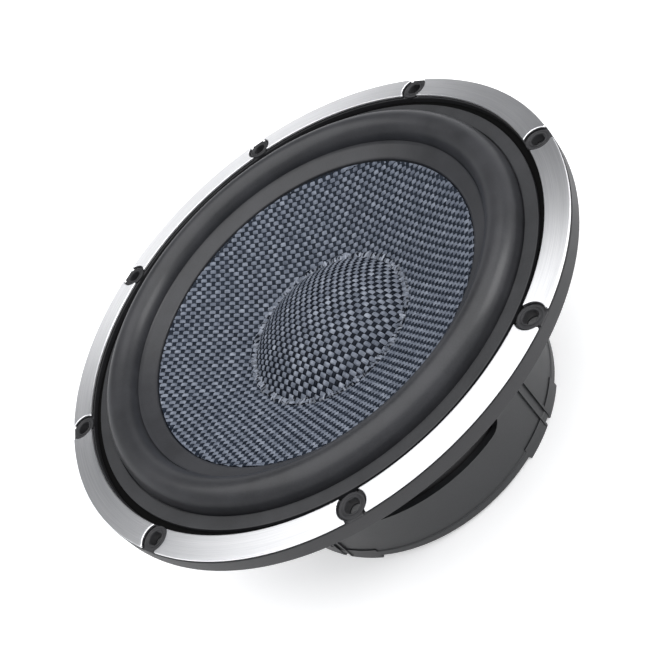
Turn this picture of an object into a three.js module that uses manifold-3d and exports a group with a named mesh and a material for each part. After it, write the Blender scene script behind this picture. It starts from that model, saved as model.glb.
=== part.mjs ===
// A moving-coil woofer for a car door: die-cast basket, ferrite motor, woven cone and dust cap,
// rubber half-roll surround, and a black bezel with eight bright trim segments.
// Millimetres. +Z is the driver's axis, towards the listener; z = 0 is the plane of the basket's feet.
// The basket's windows look along +X, +Y, -X and -Y, and its spokes lie on the diagonals.

import * as THREE from 'three';
import { mergeVertices } from 'three/addons/utils/BufferGeometryUtils.js';
import Module from 'manifold-3d';

const wasm = await Module();
wasm.setup();

// ---------------------------------------------------------------- driving dimensions
const SCREW_COUNT = 8;
const SCREW_CIRCLE_R = 98.5;
const SCREW_OFFSET_DEG = -6; // azimuth of the first screw
const FACE_Z = 82; // front face of the trim

const BEZEL = { outerR: 103.2, rearOuterR: 103.4, wallInnerR: 102.3, innerR: 94.2, rearZ: 75.1, webZ: 78.2,
  topZ: 80.6 };
const PAD = { r: 4.6, topZ: 81.4, holeR: 2.6, bridgeHalfLength: 5, bridgeHalfWidth: 2.6 };
const TRIM = { outerR: 103.0, innerR: 94.5, bottomZ: 80.9, scallopR: 5.1, endGap: 3.4 };
const GASKET = { outerR: 91.7, innerR: 86.8, bottomZ: 78.9, topZ: 79.7 };

const FLANGE = { outerR: 101.9, rearZ: 75.0, topZ: 78.0, ledgeR: 86.5, holeR: 2.3 };
const COLLAR = { outerR: 91.0, innerR: 88.2, bottomZ: 66.0, footStep: 2, footHeight: 4 };
const SKIRT = { outerR: 63.5, innerR: 60.9, topZ: 24.4, lipZ: 4.7, lipR: 63.9, rearZ: 1.7 };
const WALL = { kneeZ: 30, kneeR: 63.5, waistZ: 41, waistR: 67.5, thickness: 3.0 };
const FLOOR = { innerR: 31, outerR: 62.45, topOuterR: 63.4, bottomZ: 37.2, topZ: 40.2 };
const SEAT = { innerR: 48, outerR: 52, topZ: 46.6 };
const SPOKE = { count: 4, firstDeg: 45, halfDeg: 15, grooveHalfDeg: 1.4, footHalfDeg: 14, boxHalfWidth: 35 };
const FOOT = { bottomZ: 0, topZ: 6 };
const WINDOW = { round: 5, widening: 1.28, bulge: 0.5, nearY: 30, depth: 80 };
const JOINT_GAP = 0.3; // joint line between the drawn parts of the casting
const REACH = 110; // more than the largest radius
const RIB = { halfWidth: 0.45, height: 0.7, bottomZ: 0.9, rootDepth: 1.5 };

const ROLL = { midR: 80.0, halfWidth: 6.4, baseZ: 79.0, height: 8.0, thickness: 0.8 };
const CONE = { neckR: 25.9, neckZ: 55.6, throatR: 29.5, throatZ: 57.8, capR: 34, capZ: 60.1, edgeR: 72.3,
  slope: 0.456, thickness: 0.8 };
const LIP = { innerR: 67.3, gap: 0.1, thickness: 0.8 };
const CAP = { rimR: 34.2, domeR: 31.8, height: 10.8, thickness: 0.7, lift: 0.35 };

const COIL = { formerInnerR: 25.0, formerOuterR: 25.4, formerBottomZ: 23.5, formerTopZ: 58.2,
  windingInnerR: 25.5, windingOuterR: 26.7, windingBottomZ: 24, windingTopZ: 43 };
const SPIDER = { innerR: 25.6, waveStartR: 28, waveEndR: 46.5, flangeR: 47.8, outerR: 51.5, midZ: 47.2,
  amplitude: 1.2, waves: 5, thickness: 0.6, neckTopZ: 50.2 };
const TOP_PLATE = { innerR: 27.3, outerR: 58, bottomZ: 30, topZ: 37 };
const MAGNET = { innerR: 32, outerR: 60, bottomZ: 11.2, topZ: 29.8 };
const YOKE = { plateR: 57, rearZ: 2.2, plateTopZ: 11, poleR: 23.6, poleTopZ: 38, ventR: 9, ventRearR: 13,
  chamfer: 2.5 };
const SLEEVE = { innerR: 23.8, outerR: 24.4, bottomZ: 28, topZ: 38.5 };
const SCREEN = { r: 8.7, bottomZ: 20, topZ: 20.8 };
const BASKET_SCREW = { circleR: 55.2, besideWindowDeg: 20, headR: 2.6, headHeight: 2.2, shankR: 1.6,
  holeR: 2.0, tipZ: 32, recessR: 1.2, recessDepth: 1.2 };
const TERMINAL = { halfWidth: 14, innerY: 56.8, outerY: 72, bottomZ: 40.5, topZ: 44, ribHeight: 2.6,
  ribHalfWidth: 1, tabGap: 0.3, tabThickness: 0.8, tabX: 7.2, tabInnerY: 58.4, tabOuterY: 81 };
const RIVET = { y: 59, holeR: 1.9, shankR: 1.5, headR: 2.4, headHeight: 0.9, bottomZ: 37.6 };
const LEAD = { radius: 0.8, steps: 12, sides: 8 };

const RING_SEGMENTS = 48;
const SMALL_SEGMENTS = 32;

// ---------------------------------------------------------------- materials
const finish = (color, roughness, metalness) => (
  new THREE.MeshStandardMaterial({ color, roughness, metalness }));
const materials = {
  castBlack: finish(0x232427, 0.55, 0.3),
  bezelBlack: finish(0x2c2d30, 0.6, 0.0),
  brushedSilver: finish(0xd9dade, 0.25, 1.0),
  gasketGrey: finish(0x46474b, 0.8, 0.0),
  rubberBlack: finish(0x3a3b3f, 0.45, 0.0),
  wovenGlass: finish(0x6d7686, 0.5, 0.1),
  polyimide: finish(0xb3762a, 0.4, 0.0),
  copper: finish(0xb4693f, 0.3, 1.0),
  spiderCloth: finish(0xa98a4f, 0.9, 0.0),
  blackSteel: finish(0x1d1e20, 0.4, 0.8),
  ferrite: finish(0x2d2c2d, 0.7, 0.1),
  brass: finish(0xc8a04a, 0.3, 1.0),
  zincSteel: finish(0xa9abb0, 0.35, 1.0),
  terminalPlastic: finish(0x18191b, 0.5, 0.0),
  leadBraid: finish(0xb8a070, 0.5, 0.6),
};

// ---------------------------------------------------------------- geometry helpers
const radians = THREE.MathUtils.degToRad;

function polar(radius, degrees) {
  return new THREE.Vector2(radius * Math.cos(radians(degrees)), radius * Math.sin(radians(degrees)));
}

// A closed [r, z] profile, counter-clockwise, turned about the Z axis.
function revolve(profile, segments = RING_SEGMENTS) {
  const closed = [...profile, profile[0]].map(([r, z]) => new THREE.Vector2(r, z));
  return new THREE.LatheGeometry(closed, segments).rotateX(Math.PI / 2);
}

function ring(innerR, outerR, bottomZ, topZ, segments = RING_SEGMENTS) {
  return revolve([[innerR, bottomZ], [outerR, bottomZ], [outerR, topZ], [innerR, topZ]], segments);
}

function disc(radius, bottomZ, topZ, segments = SMALL_SEGMENTS) {
  const height = topZ - bottomZ;
  return new THREE.CylinderGeometry(radius, radius, height, segments)
    .rotateX(Math.PI / 2)
    .translate(0, 0, bottomZ + height / 2);
}

function block(xRange, yRange, zRange) {
  const size = [xRange, yRange, zRange].map(([low, high]) => high - low);
  const middle = [xRange, yRange, zRange].map(([low, high]) => (low + high) / 2);
  return new THREE.BoxGeometry(...size).translate(...middle);
}

function extrude(shape, bottomZ, topZ, curveSegments = 12) {
  return new THREE.ExtrudeGeometry(shape, { depth: topZ - bottomZ, bevelEnabled: false, curveSegments })
    .translate(0, 0, bottomZ);
}

// A wedge of a ring between two azimuths.
function sector(innerR, outerR, fromDeg, toDeg, bottomZ, topZ, steps = 8) {
  const shape = new THREE.Shape();
  shape.absarc(0, 0, outerR, radians(fromDeg), radians(toDeg), false);
  shape.absarc(0, 0, innerR, radians(toDeg), radians(fromDeg), true);
  shape.closePath();
  return extrude(shape, bottomZ, topZ, steps);
}

function toSolid(geometry) {
  const bare = geometry.index ? geometry.toNonIndexed() : geometry.clone();
  bare.deleteAttribute('normal');
  bare.deleteAttribute('uv');
  const merged = mergeVertices(bare, 1e-4);
  return new wasm.Manifold(new wasm.Mesh({
    numProp: 3,
    vertProperties: new Float32Array(merged.attributes.position.array),
    triVerts: new Uint32Array(merged.index.array),
  }));
}

function toGeometry(solid) {
  const mesh = solid.getMesh();
  const geometry = new THREE.BufferGeometry();
  geometry.setAttribute('position', new THREE.BufferAttribute(new Float32Array(mesh.vertProperties), 3));
  geometry.setIndex(new THREE.BufferAttribute(new Uint32Array(mesh.triVerts), 1));
  return geometry;
}

function join(...geometries) {
  return toGeometry(geometries.map(toSolid).reduce((whole, piece) => whole.add(piece)));
}

function cut(geometry, ...tools) {
  return toGeometry(tools.map(toSolid).reduce((whole, tool) => whole.subtract(tool), toSolid(geometry)));
}

const group = new THREE.Group();

function addPart(name, geometry, material) {
  const bare = geometry.clone();
  bare.deleteAttribute('uv');
  bare.deleteAttribute('normal');
  const welded = mergeVertices(bare, 1e-4);
  welded.computeVertexNormals();
  const mesh = new THREE.Mesh(welded, material);
  mesh.name = name;
  group.add(mesh);
  return mesh;
}

const evenly = (count, firstDeg) => Array.from({ length: count }, (_, i) => firstDeg + (i * 360) / count);
const screwAzimuths = evenly(SCREW_COUNT, SCREW_OFFSET_DEG);
const spokeAzimuths = evenly(SPOKE.count, SPOKE.firstDeg);
const windowAzimuths = spokeAzimuths.map((azimuth) => azimuth + 180 / SPOKE.count);
const basketScrewCentres = windowAzimuths.map((azimuth) => (
  polar(BASKET_SCREW.circleR, azimuth + BASKET_SCREW.besideWindowDeg).toArray()));

function screwHole(azimuth, radius, bottomZ, topZ) {
  const centre = polar(SCREW_CIRCLE_R, azimuth);
  return disc(radius, bottomZ, topZ, 12).translate(centre.x, centre.y, 0);
}

// ---------------------------------------------------------------- basket
function basketWall() {
  // Skirt, knee, flaring spoke wall and collar, as one turned shell before the windows are cut.
  const t = WALL.thickness;
  return revolve([
    [SKIRT.innerR, SKIRT.rearZ], [SKIRT.lipR, SKIRT.rearZ], [SKIRT.lipR, SKIRT.lipZ],
    [SKIRT.outerR, SKIRT.lipZ + 0.3], [WALL.kneeR, WALL.kneeZ], [WALL.waistR, WALL.waistZ],
    [COLLAR.outerR - COLLAR.footStep, COLLAR.bottomZ], [COLLAR.outerR, COLLAR.bottomZ + COLLAR.footHeight],
    [COLLAR.outerR, FLANGE.rearZ], [FLANGE.outerR, FLANGE.rearZ], [FLANGE.outerR, FLANGE.topZ],
    [FLANGE.ledgeR, FLANGE.topZ], [FLANGE.ledgeR, FLANGE.rearZ], [COLLAR.innerR, FLANGE.rearZ - 2],
    [COLLAR.innerR, COLLAR.bottomZ + COLLAR.footHeight],
    [COLLAR.outerR - COLLAR.footStep - t, COLLAR.bottomZ + 1],
    [WALL.waistR - t, WALL.waistZ + 1], [SKIRT.innerR, WALL.kneeZ + 2],
  ]);
}

function windowCutter(azimuth) {
  // A rounded window, wider at the top, drawn in the plane that faces outward and pushed through the wall.
  const { round, widening, bulge, nearY, depth } = WINDOW;
  const half = SKIRT.outerR * Math.sin(radians(180 / SPOKE.count - SPOKE.halfDeg));
  const bottom = SKIRT.topZ;
  const top = COLLAR.bottomZ;
  const topHalf = half * widening;
  const shape = new THREE.Shape();
  shape.moveTo(-half + round, bottom);
  shape.lineTo(half - round, bottom);
  shape.quadraticCurveTo(half, bottom, half + bulge, bottom + round);
  shape.lineTo(topHalf, top - round);
  shape.quadraticCurveTo(topHalf + bulge, top, topHalf - round, top);
  shape.lineTo(-topHalf + round, top);
  shape.quadraticCurveTo(-topHalf - bulge, top, -topHalf, top - round);
  shape.lineTo(-half - bulge, bottom + round);
  shape.quadraticCurveTo(-half, bottom, -half + round, bottom);
  return new THREE.ExtrudeGeometry(shape, { depth, bevelEnabled: false, curveSegments: 3 })
    .rotateX(Math.PI / 2)
    .translate(0, depth + nearY, 0)
    .rotateZ(radians(azimuth - 90));
}

function spokeRibs(azimuth) {
  // Two upright ribs that frame the spoke's middle groove, from the feet up to the collar.
  const { halfWidth, height, bottomZ, rootDepth } = RIB;
  const collarR = COLLAR.outerR - COLLAR.footStep;
  const outline = new THREE.Shape();
  outline.moveTo(SKIRT.outerR - rootDepth, bottomZ);
  outline.lineTo(SKIRT.outerR + height, bottomZ);
  outline.lineTo(WALL.kneeR + height, WALL.kneeZ);
  outline.lineTo(WALL.waistR + height, WALL.waistZ - height / 2);
  outline.lineTo(collarR + height, COLLAR.bottomZ - rootDepth);
  outline.lineTo(collarR - rootDepth, COLLAR.bottomZ);
  outline.lineTo(WALL.waistR - rootDepth, WALL.waistZ);
  outline.lineTo(SKIRT.outerR - rootDepth, WALL.kneeZ);
  outline.closePath();
  const spacing = SKIRT.outerR * Math.sin(radians(SPOKE.grooveHalfDeg));
  const solid = { depth: 2 * halfWidth, bevelEnabled: false };
  return [-1, 1].map((side) => new THREE.ExtrudeGeometry(outline, solid)
    .rotateX(Math.PI / 2)
    .translate(0, halfWidth + side * (spacing + halfWidth), 0)
    .rotateZ(radians(azimuth)));
}

function spokeFeet(azimuth) {
  // Feet on both sides of the groove, which stand past the skirt's rear edge.
  return [-1, 1].map((side) => {
    const ends = [SPOKE.grooveHalfDeg, SPOKE.footHalfDeg].map((away) => azimuth + side * away);
    const [from, to] = [Math.min(...ends), Math.max(...ends)];
    return sector(SKIRT.innerR, SKIRT.lipR, from, to, FOOT.bottomZ, FOOT.topZ, 4);
  });
}

function basketShell() {
  let solid = toSolid(basketWall());
  for (const azimuth of windowAzimuths) solid = solid.subtract(toSolid(windowCutter(azimuth)));
  for (const azimuth of spokeAzimuths) {
    for (const piece of [...spokeRibs(azimuth), ...spokeFeet(azimuth)]) solid = solid.add(toSolid(piece));
  }
  for (const azimuth of screwAzimuths) {
    solid = solid.subtract(toSolid(screwHole(azimuth, FLANGE.holeR, FLANGE.rearZ - 1, FLANGE.topZ + 1)));
  }
  return solid;
}

// The part of a solid between two heights.
function slice(solid, lowZ, highZ) {
  return solid.intersect(toSolid(block([-REACH, REACH], [-REACH, REACH], [lowZ, highZ])));
}

// The basket is one casting. It is drawn as flange, collar, spokes, floor, spider seat and skirt, with a
// narrow joint line between them, so that each of them is a simple solid.
function addBasket() {
  const shell = basketShell();
  const add = (name, solid) => addPart(name, toGeometry(solid), materials.castBlack);
  // The collar's top sits in a shallow step of the flange, so the flange's rear face is clear outside it.
  const step = ring(FLANGE.ledgeR - 1, COLLAR.outerR + JOINT_GAP, FLANGE.rearZ - 1, FLANGE.rearZ + JOINT_GAP);
  add('basket_flange', slice(shell, FLANGE.rearZ, FLANGE.topZ + 1).subtract(toSolid(step)));
  add('basket_collar', slice(shell, COLLAR.bottomZ, FLANGE.rearZ));
  add('basket_skirt', slice(shell, FOOT.bottomZ - 1, SKIRT.topZ));
  const spokes = slice(shell, SKIRT.topZ + JOINT_GAP, COLLAR.bottomZ - JOINT_GAP);
  spokeAzimuths.forEach((azimuth, i) => {
    const width = [-SPOKE.boxHalfWidth, SPOKE.boxHalfWidth];
    const around = block([0, REACH], width, [0, FLANGE.rearZ]).rotateZ(radians(azimuth));
    add(`basket_spoke_${i + 1}`, spokes.intersect(toSolid(around)));
  });
  const floor = revolve([
    [FLOOR.innerR, FLOOR.bottomZ], [FLOOR.outerR, FLOOR.bottomZ], [FLOOR.topOuterR, FLOOR.topZ],
    [FLOOR.innerR, FLOOR.topZ],
  ]);
  const rivetHole = disc(RIVET.holeR, FLOOR.bottomZ - 1, FLOOR.topZ + 1, 16).translate(0, RIVET.y, 0);
  const screwHoles = basketScrewCentres.map(([x, y]) => (
    disc(BASKET_SCREW.holeR, FLOOR.bottomZ - 1, FLOOR.topZ + 1, 16).translate(x, y, 0)));
  addPart('basket_floor', cut(floor, rivetHole, ...screwHoles), materials.castBlack);
  const seat = ring(SEAT.innerR, SEAT.outerR, FLOOR.topZ + JOINT_GAP, SEAT.topZ);
  addPart('spider_seat', seat, materials.castBlack);
}

// ---------------------------------------------------------------- bezel, trim and gasket
function makeBezel() {
  const profile = [
    [BEZEL.innerR, BEZEL.webZ], [BEZEL.wallInnerR, BEZEL.webZ], [BEZEL.wallInnerR, BEZEL.rearZ],
    [BEZEL.rearOuterR - 0.3, BEZEL.rearZ], [BEZEL.rearOuterR, BEZEL.rearZ + 0.3],
    [BEZEL.outerR, BEZEL.topZ], [BEZEL.innerR, BEZEL.topZ],
  ];
  let solid = toSolid(revolve(profile));
  const bounds = toSolid(ring(BEZEL.innerR, BEZEL.outerR, BEZEL.webZ, PAD.topZ));
  for (const azimuth of screwAzimuths) {
    const centre = polar(SCREW_CIRCLE_R, azimuth);
    const pad = disc(PAD.r, BEZEL.topZ - 1, PAD.topZ, 20);
    const bridge = block([-PAD.bridgeHalfLength, PAD.bridgeHalfLength],
      [-PAD.bridgeHalfWidth, PAD.bridgeHalfWidth], [BEZEL.topZ - 1, PAD.topZ]);
    const boss = toSolid(pad).add(toSolid(bridge)).rotate(0, 0, azimuth).translate(centre.x, centre.y, 0);
    solid = solid.add(boss.intersect(bounds));
    solid = solid.subtract(toSolid(screwHole(azimuth, PAD.holeR, BEZEL.rearZ - 1, PAD.topZ + 1)));
  }
  return toGeometry(solid);
}

function makeTrim(azimuth) {
  // One segment: a ring sector between two screw pads, scalloped round each pad.
  const pitch = 360 / SCREW_COUNT;
  const endDeg = THREE.MathUtils.radToDeg(TRIM.endGap / SCREW_CIRCLE_R);
  const plate = sector(TRIM.innerR, TRIM.outerR, azimuth + endDeg, azimuth + pitch - endDeg,
    TRIM.bottomZ, FACE_Z, 8);
  const scallops = [azimuth, azimuth + pitch].map((end) => {
    const centre = polar(SCREW_CIRCLE_R, end);
    return disc(TRIM.scallopR, TRIM.bottomZ - 1, FACE_Z + 1, 20).translate(centre.x, centre.y, 0);
  });
  return cut(plate, ...scallops);
}

// ---------------------------------------------------------------- diaphragm and suspension
const coneFrontZ = (r) => CONE.capZ + (r - CONE.capR) * CONE.slope;

function makeSurround() {
  const steps = 7;
  const outer = [];
  const inner = [];
  for (let i = 0; i <= steps; i += 1) {
    const angle = (Math.PI * i) / steps;
    outer.push([ROLL.midR + ROLL.halfWidth * Math.cos(angle), ROLL.baseZ + ROLL.height * Math.sin(angle)]);
    inner.push([
      ROLL.midR + (ROLL.halfWidth - ROLL.thickness) * Math.cos(Math.PI - angle),
      ROLL.baseZ + (ROLL.height - ROLL.thickness) * Math.sin(Math.PI - angle),
    ]);
  }
  const lipTop = coneFrontZ(LIP.innerR) + LIP.gap + LIP.thickness;
  const lipBottom = coneFrontZ(LIP.innerR) + LIP.gap;
  const footR = ROLL.midR - ROLL.halfWidth;
  return revolve([
    [GASKET.outerR, FLANGE.topZ + 0.1], [GASKET.outerR, GASKET.bottomZ - 0.1],
    [GASKET.innerR - 0.3, GASKET.bottomZ - 0.1],
    ...outer,
    [LIP.innerR, lipTop], [LIP.innerR, lipBottom],
    [footR + 0.2, coneFrontZ(footR + 0.2) + LIP.gap],
    ...inner,
    [ROLL.midR + ROLL.halfWidth - ROLL.thickness, FLANGE.topZ + 0.1],
  ]);
}

function makeCone() {
  const front = [[CONE.edgeR, coneFrontZ(CONE.edgeR)], [CONE.capR, CONE.capZ], [CONE.throatR, CONE.throatZ],
    [CONE.neckR, CONE.neckZ]];
  const back = front.map(([r, z]) => [r, z - CONE.thickness * 1.1]).reverse();
  return revolve([...front, ...back]);
}

function makeDustCap() {
  // A spherical dome with a short glued rim that lies on the cone.
  const rise = CAP.height;
  const base = CAP.domeR;
  const sphereR = (base * base + rise * rise) / (2 * rise);
  const baseZ = coneFrontZ(CAP.domeR) + CAP.lift + CAP.thickness;
  const steps = 5;
  const outer = [];
  const inner = [];
  for (let i = 0; i <= steps; i += 1) {
    const r = (base * i) / steps;
    const z = baseZ + Math.sqrt(sphereR * sphereR - r * r) - (sphereR - rise);
    outer.push([r, z]);
    inner.push([r, z - CAP.thickness]);
  }
  const rimZ = coneFrontZ(CAP.rimR) + CAP.lift;
  const profile = [...inner, [CAP.rimR, rimZ], [CAP.rimR, rimZ + CAP.thickness * 0.8], ...outer.reverse()];
  return new THREE.LatheGeometry(profile.map(([r, z]) => new THREE.Vector2(r, z)), SMALL_SEGMENTS)
    .rotateX(Math.PI / 2);
}

function makeSpider() {
  // Corrugations that run from crest to trough between the neck and the glued rim.
  const steps = SPIDER.waves * 2;
  const top = [];
  for (let i = 0; i <= steps; i += 1) {
    const r = SPIDER.waveStartR + (i / steps) * (SPIDER.waveEndR - SPIDER.waveStartR);
    top.push([r, SPIDER.midZ + (i % 2 ? SPIDER.amplitude : -SPIDER.amplitude)]);
  }
  const upper = [[SPIDER.innerR, SPIDER.neckTopZ], [SPIDER.innerR + 0.5, SPIDER.neckTopZ],
    [SPIDER.innerR + 0.9, SPIDER.midZ + 0.5], ...top, [SPIDER.flangeR, SPIDER.midZ],
    [SPIDER.outerR, SPIDER.midZ]];
  const lower = [...top].reverse().map(([r, z]) => [r, z - SPIDER.thickness]);
  const under = SPIDER.midZ - 0.5;
  return revolve([
    ...upper, [SPIDER.outerR, under], [SPIDER.flangeR, under], ...lower,
    [SPIDER.innerR, SPIDER.midZ - SPIDER.thickness],
  ].reverse(), SMALL_SEGMENTS);
}

// ---------------------------------------------------------------- motor
function makeTopPlate() {
  const plate = ring(TOP_PLATE.innerR, TOP_PLATE.outerR, TOP_PLATE.bottomZ, TOP_PLATE.topZ);
  const holes = basketScrewCentres.map(([x, y]) => (
    disc(BASKET_SCREW.holeR, BASKET_SCREW.tipZ - 1, TOP_PLATE.topZ + 1, 16).translate(x, y, 0)));
  return cut(plate, ...holes);
}

function makeYoke() {
  const c = YOKE.chamfer;
  return revolve([
    [YOKE.ventRearR, YOKE.rearZ], [YOKE.plateR - c, YOKE.rearZ], [YOKE.plateR, YOKE.rearZ + c],
    [YOKE.plateR, YOKE.plateTopZ], [YOKE.poleR, YOKE.plateTopZ], [YOKE.poleR, YOKE.poleTopZ],
    [YOKE.ventR, YOKE.poleTopZ], [YOKE.ventR, YOKE.rearZ + 6],
  ]);
}

function makeScreen() {
  // A perforated disc across the pole vent.
  const holes = [];
  for (let i = 0; i < 6; i += 1) {
    const centre = polar(5, i * 60);
    holes.push(disc(1.9, SCREEN.bottomZ - 1, SCREEN.topZ + 1, 12).translate(centre.x, centre.y, 0));
  }
  holes.push(disc(1.9, SCREEN.bottomZ - 1, SCREEN.topZ + 1, 12));
  return cut(disc(SCREEN.r, SCREEN.bottomZ, SCREEN.topZ), ...holes);
}

function makeBasketScrew([x, y]) {
  const seatZ = FLOOR.topZ + 0.1;
  const headTop = seatZ + BASKET_SCREW.headHeight;
  const head = disc(BASKET_SCREW.headR, seatZ, headTop, 20);
  const shank = disc(BASKET_SCREW.shankR, BASKET_SCREW.tipZ, seatZ + 0.5, 16);
  const drive = disc(BASKET_SCREW.recessR, headTop - BASKET_SCREW.recessDepth, headTop + 1, 6);
  return cut(join(head, shank), drive).translate(x, y, 0);
}

// ---------------------------------------------------------------- terminals and leads
function makeTerminalBlock() {
  const t = TERMINAL;
  const base = block([-t.halfWidth, t.halfWidth], [t.innerY, t.outerY], [t.bottomZ, t.topZ]);
  const rib = block([-t.ribHalfWidth, t.ribHalfWidth], [t.innerY + 5, t.outerY - 1], [t.topZ - 1,
    t.topZ + t.ribHeight]);
  const hole = disc(RIVET.holeR, t.bottomZ - 1, t.topZ + 4, 16).translate(0, RIVET.y, 0);
  return cut(join(base, rib), hole);
}

function makeTerminal(side, width) {
  const t = TERMINAL;
  const low = t.topZ + t.tabGap;
  const half = width / 2;
  const blade = block([-half, half], [t.tabInnerY, t.tabOuterY], [low, low + t.tabThickness]);
  const upright = block([-half, half], [t.tabInnerY, t.tabInnerY + 0.8], [low, low + 3]);
  const hole = disc(0.9, low - 1, low + 2, 12).translate(0, t.tabOuterY - 3.5, 0);
  return cut(join(blade, upright), hole).translate(side * t.tabX, 0, 0);
}

function makeRivet() {
  const topZ = TERMINAL.topZ + 0.1;
  const shank = disc(RIVET.shankR, RIVET.bottomZ, topZ + 0.4, 16);
  const head = disc(RIVET.headR, topZ, topZ + RIVET.headHeight, 16);
  return join(shank, head).translate(0, RIVET.y, 0);
}

function makeLead(side) {
  const x = side * TERMINAL.tabX;
  const startZ = TERMINAL.topZ + TERMINAL.tabGap + 4.2;
  const route = new THREE.CatmullRomCurve3([
    new THREE.Vector3(x, TERMINAL.tabInnerY + 0.4, startZ),
    new THREE.Vector3(x * 1.02, 57.4, 52.5),
    new THREE.Vector3(x * 1.06, 51, 56.4),
    new THREE.Vector3(x * 1.1, 43.5, 56.6),
    new THREE.Vector3(x * 1.12, 37.5, 57.6),
  ]);
  const section = new THREE.Shape();
  section.absarc(0, 0, LEAD.radius, 0, 2 * Math.PI, false);
  return new THREE.ExtrudeGeometry(section, {
    steps: LEAD.steps, curveSegments: LEAD.sides / 2, bevelEnabled: false, extrudePath: route,
  });
}

// ---------------------------------------------------------------- assembly
addBasket();
addPart('bezel_ring', makeBezel(), materials.bezelBlack);
screwAzimuths.forEach((azimuth, i) => addPart(`trim_${i + 1}`, makeTrim(azimuth), materials.brushedSilver));
addPart('gasket_ring', ring(GASKET.innerR, GASKET.outerR, GASKET.bottomZ, GASKET.topZ), materials.gasketGrey);
addPart('surround', makeSurround(), materials.rubberBlack);
addPart('cone', makeCone(), materials.wovenGlass);
addPart('dust_cap', makeDustCap(), materials.wovenGlass);
addPart('coil_former', ring(COIL.formerInnerR, COIL.formerOuterR, COIL.formerBottomZ, COIL.formerTopZ,
  SMALL_SEGMENTS), materials.polyimide);
addPart('coil_winding', ring(COIL.windingInnerR, COIL.windingOuterR, COIL.windingBottomZ, COIL.windingTopZ,
  SMALL_SEGMENTS), materials.copper);
addPart('spider', makeSpider(), materials.spiderCloth);
addPart('top_plate', makeTopPlate(), materials.blackSteel);
addPart('magnet', ring(MAGNET.innerR, MAGNET.outerR, MAGNET.bottomZ, MAGNET.topZ), materials.ferrite);
addPart('yoke', makeYoke(), materials.blackSteel);
addPart('shorting_sleeve', ring(SLEEVE.innerR, SLEEVE.outerR, SLEEVE.bottomZ, SLEEVE.topZ, SMALL_SEGMENTS),
  materials.copper);
addPart('vent_screen', makeScreen(), materials.zincSteel);
basketScrewCentres.forEach((centre, i) => addPart(`basket_screw_${i + 1}`, makeBasketScrew(centre),
  materials.zincSteel));
addPart('terminal_block', makeTerminalBlock(), materials.terminalPlastic);
addPart('terminal_positive', makeTerminal(1, 6.3), materials.brass);
addPart('terminal_negative', makeTerminal(-1, 4.8), materials.brass);
addPart('terminal_rivet', makeRivet(), materials.zincSteel);
addPart('lead_positive', makeLead(1), materials.leadBraid);
addPart('lead_negative', makeLead(-1), materials.leadBraid);

export default group;
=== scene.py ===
"""A car woofer on a pale floor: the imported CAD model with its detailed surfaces.

Lengths are drawn in millimetres and scaled to metres when a mesh is made. The driver's axis is +Z, and
its basket windows look along +X, +Y, -X and -Y.
"""

import math
import random

import bmesh
import bpy
from mathutils import Matrix, Quaternion, Vector


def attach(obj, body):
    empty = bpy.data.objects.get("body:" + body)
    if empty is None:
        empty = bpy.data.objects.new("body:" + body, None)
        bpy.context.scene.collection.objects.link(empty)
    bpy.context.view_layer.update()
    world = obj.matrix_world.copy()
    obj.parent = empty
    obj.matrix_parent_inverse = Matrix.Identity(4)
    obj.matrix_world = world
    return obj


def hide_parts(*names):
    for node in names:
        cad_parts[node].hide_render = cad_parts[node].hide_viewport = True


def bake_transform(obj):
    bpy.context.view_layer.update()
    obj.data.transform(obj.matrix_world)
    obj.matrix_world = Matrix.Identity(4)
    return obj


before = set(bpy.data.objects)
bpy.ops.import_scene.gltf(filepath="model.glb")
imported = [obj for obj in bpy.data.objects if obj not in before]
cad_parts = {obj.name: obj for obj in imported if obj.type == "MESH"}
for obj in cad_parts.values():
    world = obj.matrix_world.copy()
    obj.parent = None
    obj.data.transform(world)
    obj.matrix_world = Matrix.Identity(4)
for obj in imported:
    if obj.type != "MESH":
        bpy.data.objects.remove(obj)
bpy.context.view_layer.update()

MM = 0.001
TAU = 2 * math.pi

# -------- dimensions of the driver
SCREWS = {"count": 8, "circle_r": 98.5, "first_deg": -6.0}
FACE_Z = 82.0
BEZEL = {"outer_r": 103.2, "rear_outer_r": 103.4, "wall_inner_r": 102.3, "inner_r": 94.2,
         "rear_z": 75.1, "web_z": 78.2, "top_z": 80.6}
PAD = {"r": 4.5, "top_z": 81.4, "hole_r": 2.5, "root": 0.4, "bridge_half_width": 2.5, "bridge_drop": 0.25,
       "bridges": ((94.4, 96.2), (100.8, 103.1))}
TRIM = {"outer_r": 103.0, "inner_r": 94.5, "bottom_z": 80.9, "scallop_r": 5.1, "least_gap_deg": 1.95,
        "edge": 0.32}
GASKET = {"outer_r": 91.7, "inner_r": 86.8, "bottom_z": 78.9, "top_z": 79.7}
# A near-black ring laid in the gasket's groove: painted shade for the shadow deep in the groove.
GROOVE_SHADE = {"overlap": 0.1, "height": 0.35}
FLANGE = {"outer_r": 101.9, "rear_z": 75.0, "top_z": 78.0, "ledge_r": 86.5, "hole_r": 2.3}
COLLAR = {"outer_r": 91.0, "inner_r": 88.2, "bottom_z": 66.0, "foot_step": 2.0, "foot_height": 4.0}
SKIRT = {"outer_r": 63.5, "inner_r": 60.9, "top_z": 24.4, "lip_z": 4.7, "lip_r": 63.9, "rear_z": 1.7}
WALL = {"knee_z": 30.0, "knee_r": 63.5, "waist_z": 41.0, "waist_r": 67.5, "thickness": 3.0}
SEAT_RING = {"inner_r": 48.0, "outer_r": 52.0, "top_z": 46.6}
FLOOR_RING = {"inner_r": 31.0, "outer_r": 61.6, "bottom_z": 37.2, "top_z": 40.2}
SPOKES = {"count": 4, "first_deg": 45.0, "half_deg": 15.0, "groove_half_deg": 1.4, "foot_half_deg": 14.0,
          "web_half_deg": 13.0}
FOOT = {"bottom_z": 0.0, "top_z": 6.0}
WINDOW = {"widening": 1.28, "corner": 5.0, "near_y": 30.0, "depth": 80.0}
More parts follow.
